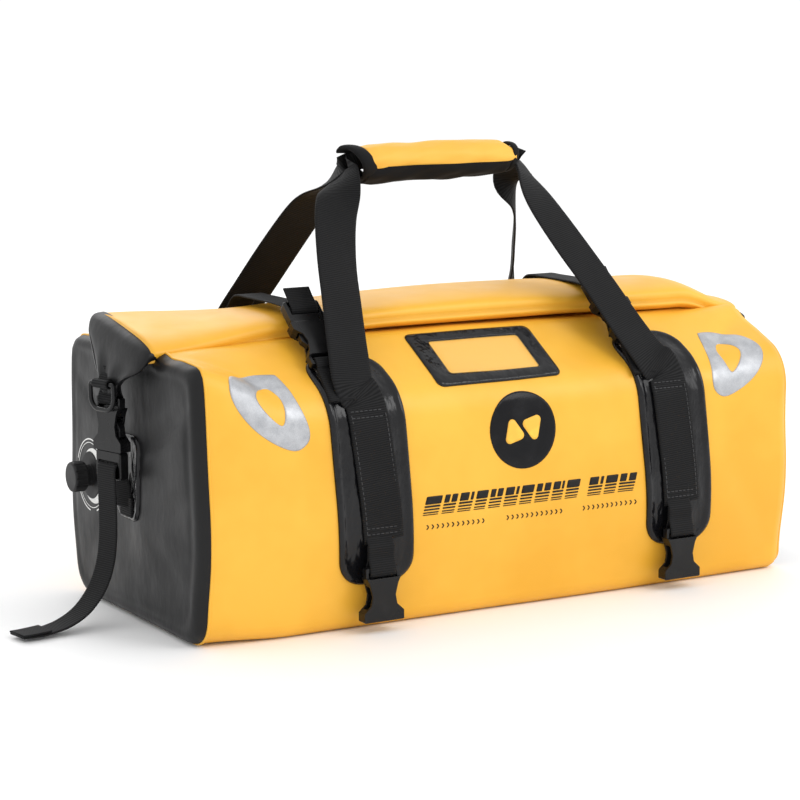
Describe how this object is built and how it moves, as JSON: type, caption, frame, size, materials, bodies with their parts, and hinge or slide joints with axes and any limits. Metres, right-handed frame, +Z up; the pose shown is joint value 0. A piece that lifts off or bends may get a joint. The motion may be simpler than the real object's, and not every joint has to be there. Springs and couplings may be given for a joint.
{
  "type": "roll-top duffel bag",
  "caption": "Waterproof roll-top duffel bag with contrasting end panels, webbing carry handles joined by a padded wrap, side-release buckles, D-rings and an air valve.",
  "frame": {"origin": "middle of the flat underside", "axes": "+X along the bag's length, -Y towards the front with the window, +Z up"},
  "size_m": [0.7504, 0.3076, 0.4016],
  "materials": {
    "yellow_shell": "satin coated tarpaulin, smooth",
    "black_shell": "satin coated tarpaulin, smooth",
    "welded_patch": "glossy coated reinforcement with a raised rim",
    "webbing": "flat woven polyester webbing",
    "buckle_plastic": "moulded acetal, fine texture",
    "valve_plastic": "moulded nylon",
    "seal_rubber": "soft black rubber",
    "window_film": "clear flexible film",
    "emblem_film": "glossy printed film",
    "reflective_film": "retro-reflective silver transfer",
    "stiffener": "extruded strip, hidden in the roll",
    "grip_cover": "padded coated fabric",
    "grip_lining": "padded woven lining"
  },
  "bodies": {
    "bag": {"body_shell": "yellow_shell", "end_panel_left": "black_shell", "end_panel_right": "black_shell", "roll_top": "yellow_shell", "roll_stiffeners": "stiffener", "roll_end_left": "black_shell", "roll_end_right": "black_shell", "id_window_frame": "welded_patch", "id_window": "window_film", "emblem_film": "emblem_film", "reflective_films": "reflective_film", "front_patches": "welded_patch", "rear_patches": "welded_patch", "front_anchor_webbing": "webbing", "rear_anchor_webbing": "webbing", "compression_loops": "webbing", "compression_female_left": "buckle_plastic", "compression_female_right": "buckle_plastic", "compression_strap_left": "webbing", "compression_strap_right": "webbing", "end_patches": "welded_patch", "closure_strap_left": "webbing", "closure_strap_right": "webbing", "closure_tab_left": "webbing", "closure_tab_right": "webbing", "closure_female_left": "buckle_plastic", "closure_female_right": "buckle_plastic", "valve_base": "valve_plastic", "valve_seal": "seal_rubber", "valve_nut": "valve_plastic"},
    "front_handle": {"front_handle_webbing": "webbing", "grip_cover": "grip_cover", "grip_lining": "grip_lining", "grip_bands": "webbing"},
    "rear_handle": {"rear_handle_webbing": "webbing"},
    "valve_knob": {"valve_knob": "valve_plastic"},
    "d_ring_left": {"d_ring_left": "buckle_plastic"},
    "d_ring_right": {"d_ring_right": "buckle_plastic"},
    "tiedown_front_left": {"tiedown_loop_front_left": "webbing", "tiedown_buckle_front_left": "buckle_plastic"},
    "tiedown_front_right": {"tiedown_loop_front_right": "webbing", "tiedown_buckle_front_right": "buckle_plastic"},
    "tiedown_rear_left": {"tiedown_loop_rear_left": "webbing", "tiedown_buckle_rear_left": "buckle_plastic"},
    "tiedown_rear_right": {"tiedown_loop_rear_right": "webbing", "tiedown_buckle_rear_right": "buckle_plastic"},
    "compression_left_male": {"compression_male_left": "buckle_plastic"},
    "compression_left_latch_a": {"compression_latch_left_a": "buckle_plastic"},
    "compression_left_latch_b": {"compression_latch_left_b": "buckle_plastic"},
    "compression_right_male": {"compression_male_right": "buckle_plastic"},
    "compression_right_latch_a": {"compression_latch_right_a": "buckle_plastic"},
    "compression_right_latch_b": {"compression_latch_right_b": "buckle_plastic"},
    "closure_left_male": {"closure_male_left": "buckle_plastic"},
    "closure_left_latch_a": {"closure_latch_a_left": "buckle_plastic"},
    "closure_left_latch_b": {"closure_latch_b_left": "buckle_plastic"},
    "closure_right_male": {"closure_male_right": "buckle_plastic"},
    "closure_right_latch_a": {"closure_latch_a_right": "buckle_plastic"},
    "closure_right_latch_b": {"closure_latch_b_right": "buckle_plastic"}
  },
  "joints": [
    {"name": "front_handle_swing", "type": "hinge", "parent": "bag", "child": "front_handle", "pos_m": [0, -0.13348, 0.19879], "axis": [1, 0, 0], "range_deg": [0, 160]},
    {"name": "rear_handle_swing", "type": "hinge", "parent": "bag", "child": "rear_handle", "pos_m": [0, 0.13348, 0.19879], "axis": [-1, 0, 0], "range_deg": [0, 160]},
    {"name": "valve_twist", "type": "hinge", "parent": "bag", "child": "valve_knob", "pos_m": [-0.3146, 0.082, 0.114], "axis": [-1, 0, 0], "range_deg": [0, 180]},
    {"name": "d_ring_left_swing", "type": "hinge", "parent": "bag", "child": "d_ring_left", "pos_m": [-0.32473, -0.00218, 0.208], "axis": [-0.2419, 0.9703, 0], "range_deg": [0, 140]},
    {"name": "d_ring_right_swing", "type": "hinge", "parent": "bag", "child": "d_ring_right", "pos_m": [0.32473, -0.00218, 0.208], "axis": [-0.2419, -0.9703, 0], "range_deg": [0, 140]},
    {"name": "tiedown_front_left_swing", "type": "hinge", "parent": "bag", "child": "tiedown_front_left", "pos_m": [-0.138, -0.1483, 0.077], "axis": [-1, 0, 0], "range_deg": [0, 100]},
    {"name": "tiedown_front_right_swing", "type": "hinge", "parent": "bag", "child": "tiedown_front_right", "pos_m": [0.17, -0.1483, 0.077], "axis": [-1, 0, 0], "range_deg": [0, 100]},
    {"name": "tiedown_rear_left_swing", "type": "hinge", "parent": "bag", "child": "tiedown_rear_left", "pos_m": [-0.138, 0.1483, 0.077], "axis": [1, 0, 0], "range_deg": [0, 100]},
    {"name": "tiedown_rear_right_swing", "type": "hinge", "parent": "bag", "child": "tiedown_rear_right", "pos_m": [0.17, 0.1483, 0.077], "axis": [1, 0, 0], "range_deg": [0, 100]},
    {"name": "compression_left_release", "type": "slide", "parent": "bag", "child": "compression_left_male", "axis": [0, 0.7547, 0.6561], "range_m": [0, 0.03], "deforming": ["compression_strap_left"]},
    {"name": "compression_left_latch_a_squeeze", "type": "hinge", "parent": "compression_left_male", "child": "compression_left_latch_a", "pos_m": [-0.1736, -0.07437, 0.25258], "axis": [0, -0.6561, 0.7547], "range_deg": [0, 6]},
    {"name": "compression_left_latch_b_squeeze", "type": "hinge", "parent": "compression_left_male", "child": "compression_left_latch_b", "pos_m": [-0.1544, -0.07437, 0.25258], "axis": [0, 0.6561, -0.7547], "range_deg": [0, 6]},
    {"name": "compression_right_release", "type": "slide", "parent": "bag", "child": "compression_right_male", "axis": [0, 0.7547, 0.6561], "range_m": [0, 0.03], "deforming": ["compression_strap_right"]},
    {"name": "compression_right_latch_a_squeeze", "type": "hinge", "parent": "compression_right_male", "child": "compression_right_latch_a", "pos_m": [0.1334, -0.07437, 0.25258], "axis": [0, -0.6561, 0.7547], "range_deg": [0, 6]},
    {"name": "compression_right_latch_b_squeeze", "type": "hinge", "parent": "compression_right_male", "child": "compression_right_latch_b", "pos_m": [0.1526, -0.07437, 0.25258], "axis": [0, 0.6561, -0.7547], "range_deg": [0, 6]},
    {"name": "closure_left_release", "type": "slide", "parent": "bag", "child": "closure_left_male", "axis": [0, 0, -1], "range_m": [0, 0.03], "deforming": ["closure_strap_left"]},
    {"name": "closure_left_latch_a_squeeze", "type": "hinge", "parent": "closure_left_male", "child": "closure_left_latch_a", "pos_m": [-0.31832, 0.00932, 0.1531], "axis": [0.9703, 0.2419, 0], "range_deg": [0, 6]},
    {"name": "closure_left_latch_b_squeeze", "type": "hinge", "parent": "closure_left_male", "child": "closure_left_latch_b", "pos_m": [-0.31368, -0.00932, 0.1531], "axis": [-0.9703, -0.2419, 0], "range_deg": [0, 6]},
    {"name": "closure_right_release", "type": "slide", "parent": "bag", "child": "closure_right_male", "axis": [0, 0, -1], "range_m": [0, 0.03], "deforming": ["closure_strap_right"]},
    {"name": "closure_right_latch_a_squeeze", "type": "hinge", "parent": "closure_right_male", "child": "closure_right_latch_a", "pos_m": [0.31832, 0.00932, 0.1531], "axis": [0.9703, -0.2419, 0], "range_deg": [0, 6]},
    {"name": "closure_right_latch_b_squeeze", "type": "hinge", "parent": "closure_right_male", "child": "closure_right_latch_b", "pos_m": [0.31368, -0.00932, 0.1531], "axis": [-0.9703, 0.2419, 0], "range_deg": [0, 6]}
  ],
  "couplings": [
    {"joint": "compression_left_latch_b_squeeze", "follows": "compression_left_latch_a_squeeze", "ratio": 1},
    {"joint": "compression_right_latch_b_squeeze", "follows": "compression_right_latch_a_squeeze", "ratio": 1},
    {"joint": "closure_left_latch_b_squeeze", "follows": "closure_left_latch_a_squeeze", "ratio": 1},
    {"joint": "closure_right_latch_b_squeeze", "follows": "closure_right_latch_a_squeeze", "ratio": 1}
  ]
}
